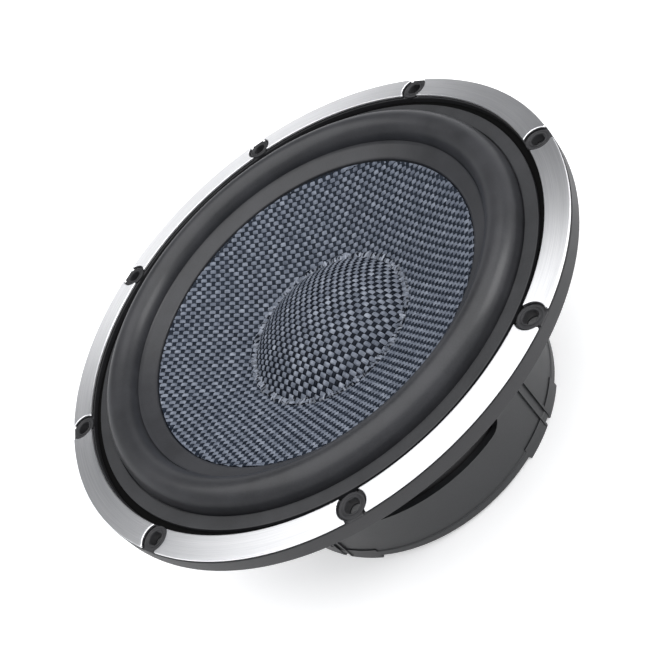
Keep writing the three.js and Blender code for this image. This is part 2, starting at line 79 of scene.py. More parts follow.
RIB = {"half_width": 0.45, "height": 0.7, "bottom_z": 0.9, "root": 1.5}
CASTING_EDGE = 0.45
ROLL = {"mid_r": 80.0, "half_width": 6.4, "base_z": 79.0, "height": 7.79, "thickness": 0.8}
CONE = {"neck_r": 25.9, "neck_z": 55.6, "throat_r": 29.5, "throat_z": 57.8, "cap_r": 34.0, "cap_z": 60.1,
        "edge_r": 72.3, "slope": 0.456, "thickness": 0.8}
LIP = {"inner_r": 67.3, "gap": 0.1, "thickness": 0.8, "fillet": ((0.15, 0.6184), (0.6, 0.18), (1.2, 0.03)),
       "edge": ((1.0, 0.0), (0.25, 0.05), (0.0, 0.3))}
CAP = {"rim_r": 34.2, "dome_r": 31.8, "height": 10.8, "lift": 0.35, "thickness": 0.7}
CLOTH = {"pitch": 1.84, "widths": (1.42, 1.62), "wave": 0.25, "crown": 0.26, "base": 0.26}
CONE_CLOTH = {"inner_r": 33.2, "outer_r": 66.9, "heading": 66.0}
CAP_CLOTH = {"outer_r": 34.1, "heading": 30.0, "fray": 0.9}
CAP_SHEET_R = 33.6
COIL = {"former_inner_r": 25.0, "former_outer_r": 25.4, "former_bottom_z": 23.5, "former_top_z": 58.2,
        "wire_inner_r": 25.5, "wire_outer_r": 26.7, "wire_bottom_z": 24.0, "wire_top_z": 43.0, "turns": 50}
SPIDER = {"inner_r": 25.6, "wave_start_r": 28.0, "wave_end_r": 46.5, "flange_r": 47.8, "outer_r": 51.5,
          "mid_z": 47.2, "amplitude": 1.2, "waves": 5, "thickness": 0.55, "flange_thickness": 0.5,
          "neck_top_z": 50.2}
TOP_PLATE = {"inner_r": 27.3, "outer_r": 58.0, "bottom_z": 30.0, "top_z": 37.0}
MAGNET = {"inner_r": 32.0, "outer_r": 60.0, "bottom_z": 11.2, "top_z": 29.8}
YOKE = {"plate_r": 57.0, "rear_z": 2.2, "plate_top_z": 11.0, "pole_r": 23.6, "pole_top_z": 38.0,
        "vent_r": 9.0, "vent_rear_r": 13.0, "chamfer": 2.5}
LEAD = {"radius": 0.75, "x": 7.2, "strand_share": 0.20, "twist": 0.35}

screw_angles = [SCREWS["first_deg"] + i * 360 / SCREWS["count"] for i in range(SCREWS["count"])]
spoke_angles = [SPOKES["first_deg"] + i * 360 / SPOKES["count"] for i in range(SPOKES["count"])]
window_angles = [a + 180 / SPOKES["count"] for a in spoke_angles]


def cone_z(r):
    """Height of the cone's front face at radius r."""
    return CONE["cap_z"] + (r - CONE["cap_r"]) * CONE["slope"]


def new_object(name, data):
    """An object in the scene."""
    made = bpy.data.objects.new(name, data)
    bpy.context.collection.objects.link(made)
    return made


# -------- camera
CAMERA = {"azimuth": -78.0, "elevation": 38.5, "distance": 357.3, "target": (4.8, -25.0, 82.0),
          "roll": -43.3, "lens": 58.7}


def make_camera():
    azimuth, elevation = math.radians(CAMERA["azimuth"]), math.radians(CAMERA["elevation"])
    back = Vector((math.cos(azimuth) * math.cos(elevation), math.sin(azimuth) * math.cos(elevation),
                   math.sin(elevation)))
    data = bpy.data.cameras.new("camera")
    data.lens = CAMERA["lens"]
    data.sensor_width = 36.0
    data.clip_start, data.clip_end = 0.01, 20.0
    camera = new_object("camera", data)
    camera.location = (Vector(CAMERA["target"]) + back * CAMERA["distance"]) * MM
    camera.rotation_mode = "QUATERNION"
    level = (-back).to_track_quat("-Z", "Y")
    camera.rotation_quaternion = level @ Quaternion((0, 0, 1), math.radians(CAMERA["roll"]))
    bpy.context.scene.camera = camera


make_camera()


# -------- node materials
class Nodes:
    """A node tree that is put together in code."""

    def __init__(self, tree):
        self.tree = tree

    def node(self, kind, settings=None, inputs=None):
        made = self.tree.nodes.new(kind)
        for key, value in (settings or {}).items():
            setattr(made, key, value)
        for key, value in (inputs or {}).items():
            if isinstance(value, bpy.types.NodeSocket):
                self.tree.links.new(value, made.inputs[key])
            else:
                made.inputs[key].default_value = value
        return made

    def math(self, operation, a, b=0.0):
        return self.node("ShaderNodeMath", {"operation": operation}, {0: a, 1: b}).outputs[0]

    def split(self, vector):
        return self.node("ShaderNodeSeparateXYZ", None, {0: vector}).outputs

    def ranged(self, value, limits, low, high):
        """Goes from low to high as the value goes through its limits."""
        return self.node("ShaderNodeMapRange", None, {
            "Value": value, "From Min": limits[0], "From Max": limits[1], "To Min": low, "To Max": high,
        }).outputs["Result"]


class Shader(Nodes):
    """A Principled material that is put together from procedural nodes."""

    def __init__(self, name, **sockets):
        self.material = bpy.data.materials.new(name)
        self.material.use_nodes = True
        super().__init__(self.material.node_tree)
        self.bsdf = self.tree.nodes["Principled BSDF"]
        for socket, value in sockets.items():
            self.bsdf.inputs[socket.replace("_", " ")].default_value = value
        self.place = self.node("ShaderNodeTexCoord").outputs["Object"]

    def link(self, output, socket):
        self.tree.links.new(output, self.bsdf.inputs[socket])

    def surface(self, *outputs):
        """The outputs become the base colour, the roughness and the normal, in that order."""
        for output, socket in zip(outputs, ("Base Color", "Roughness", "Normal")):
            self.link(output, socket)

    def blend(self, a, b, share):
        """a and b added, with b taking that share."""
        return self.math("ADD", self.math("MULTIPLY", a, 1 - share), self.math("MULTIPLY", b, share))

    def vector(self, x, y, z):
        return self.node("ShaderNodeCombineXYZ", None, {0: x, 1: y, 2: z}).outputs[0]

    def attribute(self, name):
        return self.node("ShaderNodeAttribute", {"attribute_name": name}).outputs["Vector"]

    def noise(self, scale, detail=3.0, roughness=0.5, vector=None):
        return self.node("ShaderNodeTexNoise", None, {
            "Vector": vector or self.place, "Scale": scale, "Detail": detail, "Roughness": roughness,
        }).outputs["Fac"]

    def spread(self, value, low, high):
        """A noise value, most of which lies between 0.3 and 0.7, stretched from low to high."""
        return self.ranged(value, (0.3, 0.7), low, high)

    def ramp(self, value, stops):
        made = self.node("ShaderNodeValToRGB", None, {"Fac": value})
        while len(made.color_ramp.elements) < len(stops):
            made.color_ramp.elements.new(0.5)
        for element, (position, colour) in zip(made.color_ramp.elements, stops):
            element.position = position
            element.color = (*colour, 1.0)
        return made.outputs["Color"]

    def mix(self, share, a, b):
        made = self.node("ShaderNodeMix", {"data_type": "RGBA"}, {"Factor": share})
        for socket, value in ((6, a), (7, b)):
            if isinstance(value, bpy.types.NodeSocket):
                self.tree.links.new(value, made.inputs[socket])
            else:
                made.inputs[socket].default_value = (*value, 1.0)
        return made.outputs[2]

    def bump(self, height, distance, strength=1.0):
        return self.node("ShaderNodeBump", None, {
            "Height": height, "Distance": distance * MM, "Strength": strength,
        }).outputs["Normal"]

    def turned(self, along):
        """Texture space of something turned on the Z axis: the radius, the angle times along, the height."""
        x, y, z = self.split(self.place)
        squares = [self.math("MULTIPLY", side, side) for side in (x, y)]
        angle = self.math("ARCTAN2", y, x)
        return self.vector(self.math("SQRT", self.math("ADD", *squares)),
                           self.math("MULTIPLY", angle, along), z)


def grained(name, dark, light, roughness, grain_mm, depth_mm, speckle=0.5, **sockets):
    """A moulded or painted surface: mottled colour, fine grain and uneven gloss."""
    s = Shader(name, **sockets)
    fine = s.noise(1 / (grain_mm * MM), 2.0)
    broad = s.noise(1 / (22 * MM), 4.0, 0.6)
    s.surface(s.ramp(s.blend(fine, broad, 1 - speckle), [(0.35, dark), (0.65, light)]),
              s.spread(broad, roughness - 0.05, roughness + 0.07), s.bump(fine, depth_mm))
    return s.material


def make_brushed_silver():
    """Aluminium brushed round the ring, so its gloss spreads along the radius."""
    s = Shader("brushed_silver", Metallic=1.0, Anisotropic=0.8)
    lines = s.noise(1 / (0.11 * MM), 3.0, 0.7, s.turned(0.0004))
    broad = s.noise(1 / (9 * MM), 3.0, 0.5, s.turned(0.01))
    s.surface(s.ramp(lines, [(0.3, (0.70, 0.705, 0.72)), (0.7, (0.88, 0.88, 0.89))]),
              s.spread(s.blend(lines, broad, 0.4), 0.36, 0.50), s.bump(lines, 0.0022))
    x, y, _ = s.split(s.place)
    radial = s.node("ShaderNodeVectorMath", {"operation": "NORMALIZE"}, {0: s.vector(x, y, 0.0)})
    s.link(radial.outputs[0], "Tangent")
    return s.material


def make_rubber(name, dark, light, roughness):
    """Soft black rubber with a fine skin and a cloudy bloom."""
    s = Shader(name, Specular_IOR_Level=0.35, Coat_Weight=0.12, Coat_Roughness=0.2)
    skin = s.noise(1 / (0.6 * MM), 4.0, 0.6)
    bloom = s.noise(1 / (16 * MM), 5.0, 0.6)
    s.surface(s.ramp(s.blend(skin, bloom, 0.65), [(0.38, dark), (0.62, light)]),
              s.spread(s.blend(skin, bloom, 0.6), roughness - 0.05, roughness + 0.06),
              s.bump(skin, 0.012, 0.8))
    return s.material


def yarn_fibres(s, along_scale, across_scale):
    """Fine streaks along each yarn, from the mesh's "yarn" attribute: mm along the yarn, the place across it
    from -1 to 1, and the yarn's own number."""
    along, across, number = s.split(s.attribute("yarn"))
    streaks = s.noise(1.0, 3.0, 0.65, s.vector(
        s.math("MULTIPLY", along, along_scale), s.math("MULTIPLY", across, across_scale),
        s.math("MULTIPLY", number, 37.0)))
    return streaks, along, number


def make_yarn(name, dark, light):
    """Glass yarn in two tones: a yarn's number is 1 higher on the light set."""
    s = Shader(name, Specular_IOR_Level=0.06, Anisotropic=0.8)
    fibres, along, number = yarn_fibres(s, 0.12, 7.0)
    patch = s.noise(0.35, 2.0, 0.5, s.vector(along, 0.0, s.math("MULTIPLY", number, 91.0)))
    tone = s.blend(fibres, patch, 0.5)
    tones = [s.ramp(tone, list(zip((0.34, 0.50, 0.66), colours))) for colours in (dark, light)]
    s.surface(s.mix(s.math("GREATER_THAN", number, 1.0), *tones),
              s.spread(fibres, 0.22, 0.38), s.bump(fibres, 0.03))
    s.link(s.attribute("across_yarn"), "Tangent")
    return s.material


def make_glued_yarn():
    """Cut yarn ends under a thin film of clear glue."""
    s = Shader("glued_yarn", Specular_IOR_Level=0.4, Coat_Weight=0.25, Coat_Roughness=0.25)
    fibres, _, number = yarn_fibres(s, 0.3, 5.0)
    s.surface(s.ramp(s.blend(fibres, number, 0.5), [
        (0.20, (0.032, 0.039, 0.053)), (0.50, (0.095, 0.108, 0.136)), (0.80, (0.250, 0.272, 0.322)),
    ]), s.spread(fibres, 0.26, 0.42), s.bump(fibres, 0.04))
    return s.material


def make_resin():
    """The dark resin that is seen between the yarns."""
    s = Shader("dark_resin", Specular_IOR_Level=0.1)
    pores = s.noise(1 / (0.7 * MM), 3.0)
    s.surface(s.ramp(pores, [(0.35, (0.002, 0.003, 0.005)), (0.65, (0.006, 0.008, 0.012))]),
              s.spread(pores, 0.32, 0.5), s.bump(pores, 0.03))
    return s.material


def make_metal(name, dark, light, roughness, across_mm):
    """A turned or drawn metal face with fine tool lines round the axis."""
    s = Shader(name, Metallic=1.0)
    lines = s.noise(1 / (across_mm * MM), 2.0, 0.6, s.turned(0.001))
    stain = s.noise(1 / (8 * MM), 4.0, 0.6)
    s.surface(s.ramp(s.blend(lines, stain, 0.5), [(0.35, dark), (0.65, light)]),
              s.spread(stain, roughness - 0.06, roughness + 0.08), s.bump(lines, 0.004))
    return s.material


def make_cloth(name, dark, light, thread_mm):
    """A resin-stiffened open cloth: two crossing sets of threads."""
    s = Shader(name, Sheen_Weight=0.2, Sheen_Roughness=0.5, Specular_IOR_Level=0.3)
    x, y, _ = s.split(s.place)
    turn = TAU / (thread_mm * MM)
    warp = s.math("SINE", s.math("MULTIPLY", x, turn))
    weft = s.math("SINE", s.math("MULTIPLY", y, turn))
    height = s.math("ADD", s.math("MULTIPLY", s.math("MAXIMUM", warp, weft), 0.5), 0.5)
    stain = s.noise(1 / (12 * MM), 4.0)
    s.surface(s.ramp(s.blend(height, stain, 0.5), [(0.3, dark), (0.75, light)]),
              s.spread(stain, 0.75, 0.9), s.bump(height, 0.08))
    return s.material


def make_floor_paint():
    """Pale paint that gives off a little light, so that the floor stays white."""
    s = Shader("pale_floor", Specular_IOR_Level=0.2, Emission_Color=(1.0, 1.0, 1.0, 1.0),
               Emission_Strength=0.3)
    s.surface(s.ramp(s.noise(1 / (60 * MM), 5.0), [(0.35, (0.90, 0.90, 0.905)), (0.65, (0.93, 0.93, 0.93))]),
              s.spread(s.noise(1 / (30 * MM)), 0.7, 0.8))
    return s.material


looks = {
    "cast": grained("cast_paint", (0.011, 0.0115, 0.013), (0.021, 0.022, 0.024), 0.42, 0.5, 0.018,
                    Specular_IOR_Level=0.5),
    "bezel": grained("bezel_plastic", (0.012, 0.012, 0.0135), (0.020, 0.020, 0.022), 0.56, 0.35, 0.012,
                     Specular_IOR_Level=0.4),
    "silver": make_brushed_silver(),
    "rubber": make_rubber("surround_rubber", (0.015, 0.0155, 0.0175), (0.026, 0.0265, 0.030), 0.42),
    "gasket": make_rubber("gasket_rubber", (0.016, 0.0165, 0.018), (0.028, 0.0285, 0.031), 0.55),
    # Near-black for the ring in the gasket's groove: painted shade.
    "groove": grained("painted_groove_shade", (0.0015, 0.0015, 0.0015), (0.003, 0.003, 0.003), 0.85, 0.5, 0.01,
                      Specular_IOR_Level=0.08),
    "yarn": make_yarn("cone_yarn", [(0.004, 0.006, 0.010), (0.010, 0.014, 0.022), (0.026, 0.032, 0.045)],
                      [(0.058, 0.067, 0.088), (0.118, 0.133, 0.166), (0.225, 0.246, 0.292)]),
    # The cap's copy of the yarn has a darker dark set and a lighter light set than the cone's: painted dark
    # reflections and painted highlights on the dome.
    "cap_yarn": make_yarn("cap_yarn", [(0.002, 0.003, 0.006), (0.005, 0.007, 0.012), (0.016, 0.020, 0.029)],
                          [(0.054, 0.063, 0.082), (0.130, 0.145, 0.179), (0.290, 0.313, 0.362)]),
    "glued": make_glued_yarn(),
    "resin": make_resin(),
    "steel": make_metal("black_steel", (0.020, 0.020, 0.022), (0.040, 0.040, 0.044), 0.42, 0.25),
    "zinc": make_metal("zinc_steel", (0.38, 0.385, 0.40), (0.58, 0.585, 0.60), 0.32, 0.2),
    "copper": make_metal("copper_wire", (0.52, 0.20, 0.10), (0.80, 0.36, 0.20), 0.26, 0.3),
    "brass": make_metal("brass_tab", (0.55, 0.38, 0.12), (0.80, 0.60, 0.25), 0.3, 0.2),
    "ferrite": grained("ferrite", (0.018, 0.018, 0.019), (0.040, 0.039, 0.040), 0.62, 0.5, 0.02, 0.7),
    "film": grained("coil_film", (0.26, 0.11, 0.03), (0.36, 0.17, 0.05), 0.35, 1.2, 0.01, 0.3),
    "plastic": grained("terminal_plastic", (0.010, 0.010, 0.011), (0.018, 0.018, 0.020), 0.45, 0.4, 0.01),
    "spider": make_cloth("spider_cloth", (0.16, 0.09, 0.03), (0.42, 0.27, 0.11), 0.9),
    "braid": make_metal("lead_braid", (0.42, 0.30, 0.14), (0.68, 0.52, 0.28), 0.4, 0.3),
}


# -------- mesh code
def new_piece(name, points, faces, look, smooth=True):
    """A mesh object from points in millimetres."""
    mesh = bpy.data.meshes.new(name)
    mesh.from_pydata([tuple(c * MM for c in p) for p in points], [], faces)
    mesh.validate()
    mesh.polygons.foreach_set("use_smooth", [smooth] * len(mesh.polygons))
    mesh.materials.append(looks[look])
    return new_object(name, mesh)


def rounded(corners, steps=3):
    """A closed (r, z) outline from (r, z, radius) corners, each turned into an arc."""
    outline = []
    for i, (r, z, radius) in enumerate(corners):
        here = Vector((r, z))
        before = Vector(corners[i - 1][:2]) - here
        after = Vector(corners[(i + 1) % len(corners)][:2]) - here
        if radius <= 0:
            outline.append((r, z))
            continue
        back = min(radius, 0.45 * before.length, 0.45 * after.length)
        start, end = here + before.normalized() * back, here + after.normalized() * back
        for k in range(steps + 1):
            t = k / steps
            point = start * (1 - t) ** 2 + here * 2 * t * (1 - t) + end * t ** 2
            outline.append((point.x, point.y))
    return outline


def turned_mesh(outline, segments, centre=(0.0, 0.0)):
    """Points and faces of a closed outline turned about an upright axis."""
    count = len(outline)
    points = []
    for i in range(segments):
        c, s = math.cos(TAU * i / segments), math.sin(TAU * i / segments)
        points.extend((centre[0] + r * c, centre[1] + r * s, z) for r, z in outline)
    faces = []
    for i in range(segments):
        a, b = i * count, ((i + 1) % segments) * count
        for k in range(count):
            n = (k + 1) % count
            faces.append((a + k, b + k, b + n, a + n))
    return points, faces


def outward(piece):
    """Faces of a closed mesh look out."""
    work = bmesh.new()
    work.from_mesh(piece.data)
    bmesh.ops.recalc_face_normals(work, faces=work.faces)
    work.to_mesh(piece.data)
    work.free()
    return piece


def crisp(piece, angle=35.0, flat_faces=True):
    """Edges sharper than the angle stay crisp, and large faces keep their own normals."""
    work = bmesh.new()
    work.from_mesh(piece.data)
    for edge in work.edges:
        edge.smooth = edge.calc_face_angle(0.0) < math.radians(angle)
    work.to_mesh(piece.data)
    work.free()
    if flat_faces:
        weighted = piece.modifiers.new("weighted", "WEIGHTED_NORMAL")
        weighted.keep_sharp = True
        weighted.weight = 90
    return piece


def turned_solid(name, corners, look, segments, centre=(0.0, 0.0)):
    """A closed turned solid from (r, z, radius) corners."""
    points, faces = turned_mesh(rounded(corners), segments, centre)
    return outward(new_piece(name, points, faces, look))


def turned_piece(name, corners, look, segments):
    """A turned solid with crisp edges."""
    return crisp(turned_solid(name, corners, look, segments))


def turned_sheet(name, outline, look, segments):
    """A thin turned piece with soft edges, from every (r, z) point of its outline."""
    points, faces = turned_mesh(outline, segments)
    return crisp(outward(new_piece(name, points, faces, look)), 60, False)


def settle(piece):
    """The piece's modifiers become its mesh."""
    graph = bpy.context.evaluated_depsgraph_get()
    made = bpy.data.meshes.new_from_object(piece.evaluated_get(graph))
    piece.modifiers.clear()
    piece.data = made


def carve(piece, tools):
    """The tools are cut out of the piece, and removed."""
    for tool in tools:
        step = piece.modifiers.new("carve", "BOOLEAN")
        step.operation = "DIFFERENCE"
        step.solver = "EXACT"
        step.object = tool
    settle(piece)
    for tool in tools:
        bpy.data.objects.remove(tool)


def bevelled(piece, width, segments, angle):
    """A bevel on every edge sharper than the angle."""
    edge = piece.modifiers.new("edge", "BEVEL")
    edge.width, edge.segments = width * MM, segments
    edge.limit_method, edge.angle_limit = "ANGLE", math.radians(angle)


def polar(radius, degrees):
    return radius * math.cos(math.radians(degrees)), radius * math.sin(math.radians(degrees))


def prism(name, outline, shift, look):
    """The solid between a closed outline of 3D points and the same outline moved by shift."""
    count = len(outline)
    moved = [tuple(a + b for a, b in zip(p, shift)) for p in outline]
    faces = [tuple(range(count)), tuple(range(2 * count - 1, count - 1, -1))]
    faces += [(i, count + i, count + (i + 1) % count, (i + 1) % count) for i in range(count)]
    return outward(new_piece(name, [*outline, *moved], faces, look, False))


def screw_holes(radius, low, high, look):
    """Round bars through the screws' places, as tools that reach 1 mm past low and high."""
    steps, tools = 32, []
    for azimuth in screw_angles:
        x, y = polar(SCREWS["circle_r"], azimuth)
        turns = [TAU * i / steps for i in range(steps)]
        outline = [(x + radius * math.cos(t), y + radius * math.sin(t), low - 1) for t in turns]
        tools.append(prism("hole_tool", outline, (0.0, 0.0, high - low + 2), look))
    return tools


def joined(name, pieces):
    """Several meshes as one object."""
    work = bmesh.new()
    for piece in pieces:
        work.from_mesh(piece.data)
    mesh = bpy.data.meshes.new(name)
    work.to_mesh(mesh)
    work.free()
    mesh.materials.append(pieces[0].data.materials[0])
    piece = new_object(name, mesh)
    for old in pieces:
        bpy.data.objects.remove(old)
    return piece


def finish_piece(piece, body, slot, *nodes):
    """The piece stands for those CAD nodes, if any, and rides on that body; the slot is not used."""
    if nodes:
        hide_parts(*nodes)
    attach(piece, body)


# -------- basket casting
def window_tool(azimuth):
    """The solid that cuts one window, wider at its top."""
    half = SKIRT["outer_r"] * math.sin(math.radians(180 / SPOKES["count"] - SPOKES["half_deg"]))
    wide, corner = half * WINDOW["widening"], WINDOW["corner"]
    bottom, top = SKIRT["top_z"], COLLAR["bottom_z"]
    outline = rounded([(-half, bottom, corner), (half, bottom, corner), (wide, top, corner),
                       (-wide, top, corner)], 6)
    turn = Matrix.Rotation(math.radians(azimuth - 90), 3, "Z")
    near = [tuple(turn @ Vector((x, WINDOW["near_y"], z))) for x, z in outline]
    return prism("window_tool", near, tuple(turn @ Vector((0.0, WINDOW["depth"], 0.0))), "cast")


def spoke_ribs(azimuth):
    """The two low ribs beside a spoke's groove, from the skirt's rear edge to the collar."""
    h, w, root = RIB["height"], RIB["half_width"], RIB["root"]
    spacing = SKIRT["outer_r"] * math.sin(math.radians(SPOKES["groove_half_deg"]))
    collar_r = COLLAR["outer_r"] - COLLAR["foot_step"]
    side = [(SKIRT["outer_r"] - root, RIB["bottom_z"]), (SKIRT["outer_r"] + h, RIB["bottom_z"]),
            (WALL["knee_r"] + h, WALL["knee_z"]), (WALL["waist_r"] + h, WALL["waist_z"] - 0.5),
            (collar_r + h, COLLAR["bottom_z"] - root), (collar_r - root, COLLAR["bottom_z"]),
            (WALL["waist_r"] - root, WALL["waist_z"]), (SKIRT["outer_r"] - root, WALL["knee_z"])]
    turn = Matrix.Rotation(math.radians(azimuth), 3, "Z")
    for sign in (-1, 1):
        middle = sign * (spacing + w)
        yield prism("rib", [tuple(turn @ Vector((r, middle - w, z))) for r, z in side],
                    tuple(turn @ Vector((0.0, 2 * w, 0.0))), "cast")


def ring_sector(name, inner_r, outer_r, start, end, low, high, steps=8):
    """A wedge of a cast ring."""
    angles = [start + (end - start) * i / steps for i in range(steps + 1)]
    outline = [(*polar(outer_r, a), low) for a in angles]
    outline += [(*polar(inner_r, a), low) for a in reversed(angles)]
    return prism(name, outline, (0.0, 0.0, high - low), "cast")


def basket_shell():
    """Flange, collar, wall and skirt in one turned shell, with its windows and screw holes cut out."""
    t, foot_r, foot_z = WALL["thickness"], COLLAR["outer_r"] - COLLAR["foot_step"], COLLAR["bottom_z"]
    shell = turned_solid("basket_shell", [
        (SKIRT["inner_r"], SKIRT["rear_z"], 0.2), (SKIRT["lip_r"], SKIRT["rear_z"], 0.4),
        (SKIRT["lip_r"], SKIRT["lip_z"], 0.15), (SKIRT["outer_r"], SKIRT["lip_z"] + 0.3, 0.0),
        (WALL["knee_r"], WALL["knee_z"], 4.0), (WALL["waist_r"], WALL["waist_z"], 4.0),
        (foot_r, foot_z, 2.0), (COLLAR["outer_r"], foot_z + COLLAR["foot_height"], 2.0),
        (COLLAR["outer_r"], FLANGE["rear_z"], 0.0), (FLANGE["outer_r"], FLANGE["rear_z"], 0.3),
        (FLANGE["outer_r"], FLANGE["top_z"], 0.3), (FLANGE["ledge_r"], FLANGE["top_z"], 0.4),
        (FLANGE["ledge_r"], FLANGE["rear_z"], 0.4), (COLLAR["inner_r"], FLANGE["rear_z"] - 2.0, 0.5),
        (COLLAR["inner_r"], foot_z + COLLAR["foot_height"], 1.5), (foot_r - t, foot_z + 1.0, 2.0),
        (WALL["waist_r"] - t, WALL["waist_z"] + 1.0, 3.0), (SKIRT["inner_r"], WALL["knee_z"] + 2.0, 3.0),
    ], "cast", 144)
    holes = screw_holes(FLANGE["hole_r"], FLANGE["rear_z"], FLANGE["top_z"], "cast")
    carve(shell, [window_tool(a) for a in window_angles] + holes)
    bevelled(shell, CASTING_EDGE, 2, 50)
    settle(shell)
    return shell


def basket_floor():
    """The floor behind the spider, and the raised seat that holds it."""
    low, high, seat = FLOOR_RING["bottom_z"], FLOOR_RING["top_z"], SEAT_RING["top_z"]
    return turned_solid("floor", [
        (FLOOR_RING["inner_r"], low, 0.4), (FLOOR_RING["outer_r"], low, 0.4),
        (FLOOR_RING["outer_r"], high, 0.4), (SEAT_RING["outer_r"], high, 0.6),
        (SEAT_RING["outer_r"], seat, 0.4), (SEAT_RING["inner_r"], seat, 0.4),
        (SEAT_RING["inner_r"], high, 0.6), (FLOOR_RING["inner_r"], high, 0.4)], "cast", 144)


def make_basket():
    """The whole casting as one piece."""
    pieces = [basket_shell(), basket_floor()]
    for azimuth in spoke_angles:
        pieces.extend(spoke_ribs(azimuth))
        pieces.append(ring_sector("web", FLOOR_RING["outer_r"] - 2, WALL["waist_r"] - 0.6,
                                  azimuth - SPOKES["web_half_deg"], azimuth + SPOKES["web_half_deg"],
                                  FLOOR_RING["bottom_z"], FLOOR_RING["top_z"]))
        for sign in (-1, 1):
            ends = sorted(azimuth + sign * SPOKES[key] for key in ("groove_half_deg", "foot_half_deg"))
            pieces.append(ring_sector("foot", SKIRT["inner_r"], SKIRT["lip_r"], *ends, FOOT["bottom_z"],
                                      FOOT["top_z"], 12))
    basket = crisp(joined("basket_casting", pieces))
    finish_piece(basket, "frame", "cast_black", "basket_flange", "basket_collar", "basket_skirt",
                 *(f"basket_spoke_{i}" for i in range(1, 5)), "basket_floor", "spider_seat")


make_basket()


# -------- bezel, trim and gasket
def screw_pad(azimuth):
    """A round pad whose recess has a raised rim, and the two bars that join it to the ring's edges."""
    top, root_z = PAD["top_z"], BEZEL["top_z"] - PAD["root"]
    yield turned_solid("pad", [
        (PAD["r"], root_z, 0.0), (PAD["r"], top - 0.1, 0.25), (3.75, top - 0.1, 0.12),
        (3.55, top - 0.35, 0.1), (3.25, top - 0.35, 0.1), (3.1, top, 0.15), (2.75, top, 0.15),
        (PAD["hole_r"], top - 0.5, 0.2), (PAD["hole_r"], BEZEL["web_z"] + 0.1, 0.0),
        (PAD["hole_r"] + 0.6, root_z, 0.0)], "bezel", 48, polar(SCREWS["circle_r"], azimuth))
    turn = Matrix.Rotation(math.radians(azimuth), 3, "Z")
    half, height = PAD["bridge_half_width"], top - PAD["bridge_drop"] - root_z
    for low_r, high_r in PAD["bridges"]:
        corners = [(low_r, -half), (high_r, -half), (high_r, half), (low_r, half)]
        outline = [tuple(turn @ Vector((x, y, root_z))) for x, y in corners]
        yield prism("bridge", outline, (0, 0, height), "bezel")


def make_bezel():
    """The black ring round the flange, with its screw pads."""
    ring = turned_solid("bezel_web", [
        (BEZEL["inner_r"], BEZEL["web_z"], 0.3), (BEZEL["wall_inner_r"], BEZEL["web_z"], 0.0),
        (BEZEL["wall_inner_r"], BEZEL["rear_z"], 0.2), (BEZEL["rear_outer_r"], BEZEL["rear_z"], 0.35),
        (BEZEL["outer_r"], BEZEL["top_z"], 0.3), (BEZEL["inner_r"], BEZEL["top_z"], 0.4)], "bezel", 240)
    carve(ring, screw_holes(PAD["hole_r"], BEZEL["web_z"], BEZEL["top_z"], "bezel"))
    pads = [piece for azimuth in screw_angles for piece in screw_pad(azimuth)]
    bezel = crisp(joined("bezel", [ring, *pads]))
    finish_piece(bezel, "frame", "bezel_black", "bezel_ring")


make_bezel()


def make_trim(index, azimuth):
    """One bright segment: a flat ring sector whose ends are scalloped round the screw pads."""
    rows, columns = 12, 56
    pitch = 360 / SCREWS["count"]
    circle = SCREWS["circle_r"]
    points = []
    for i in range(rows + 1):
        r = TRIM["inner_r"] + (TRIM["outer_r"] - TRIM["inner_r"]) * i / rows
        cosine = (r * r + circle ** 2 - TRIM["scallop_r"] ** 2) / (2 * r * circle)
        back = max(TRIM["least_gap_deg"], math.degrees(math.acos(max(-1.0, min(1.0, cosine)))))
        for k in range(columns + 1):
            points.append((*polar(r, azimuth + back + (pitch - 2 * back) * k / columns), FACE_Z))
    across = columns + 1
    faces = [((i + 1) * across + k, (i + 1) * across + k + 1, i * across + k + 1, i * across + k)
             for i in range(rows) for k in range(columns)]
    piece = new_piece(f"trim_segment_{index}", points, faces, "silver")
    thick = piece.modifiers.new("thickness", "SOLIDIFY")
    thick.thickness, thick.offset = (FACE_Z - TRIM["bottom_z"]) * MM, -1.0
    bevelled(piece, TRIM["edge"], 3, 50)
    settle(piece)
    crisp(piece)
    finish_piece(piece, "frame", "brushed_silver", f"trim_{index}")


for trim_number, screw_angle in enumerate(screw_angles, 1):
    make_trim(trim_number, screw_angle)

gasket = turned_piece("gasket_pad", [
    (GASKET["inner_r"], GASKET["bottom_z"], 0.2), (GASKET["outer_r"], GASKET["bottom_z"], 0.2),
    (GASKET["outer_r"], GASKET["top_z"], 0.3), (GASKET["inner_r"], GASKET["top_z"], 0.35)], "gasket", 240)
finish_piece(gasket, "frame", "gasket_grey", "gasket_ring")


def make_painted_groove_shade():
    """A near-black ring in the groove between the gasket and the bezel: painted shade, standing in for the
    shadow deep in the groove.
    """
    inner_r, outer_r = GASKET["outer_r"] - GROOVE_SHADE["overlap"], BEZEL["inner_r"] + GROOVE_SHADE["overlap"]
    low, high = FLANGE["top_z"], FLANGE["top_z"] + GROOVE_SHADE["height"]
    corners = [(inner_r, low, 0.0), (outer_r, low, 0.0), (outer_r, high, 0.1), (inner_r, high, 0.1)]
    groove_shade_ring = turned_piece("painted_shade_groove_ring", corners, "groove", 192)
    finish_piece(groove_shade_ring, "frame", "gasket_grey")


make_painted_groove_shade()


# -------- surround and spider
def bend_by_radius(piece, still_r, moving_r):
    """The rings are held all round. The piece's placement is baked into its mesh; still_r and moving_r are
    not used."""
    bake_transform(piece)


def half_round(radius, height, steps, side):
    """(r, z) points of the roll, from its outer foot to its inner one, or back again where side is -1."""
    turns = [math.pi * i / steps for i in range(steps + 1)]
    return [(ROLL["mid_r"] + side * radius * math.cos(t), ROLL["base_z"] + height * math.sin(t))
            for t in turns]


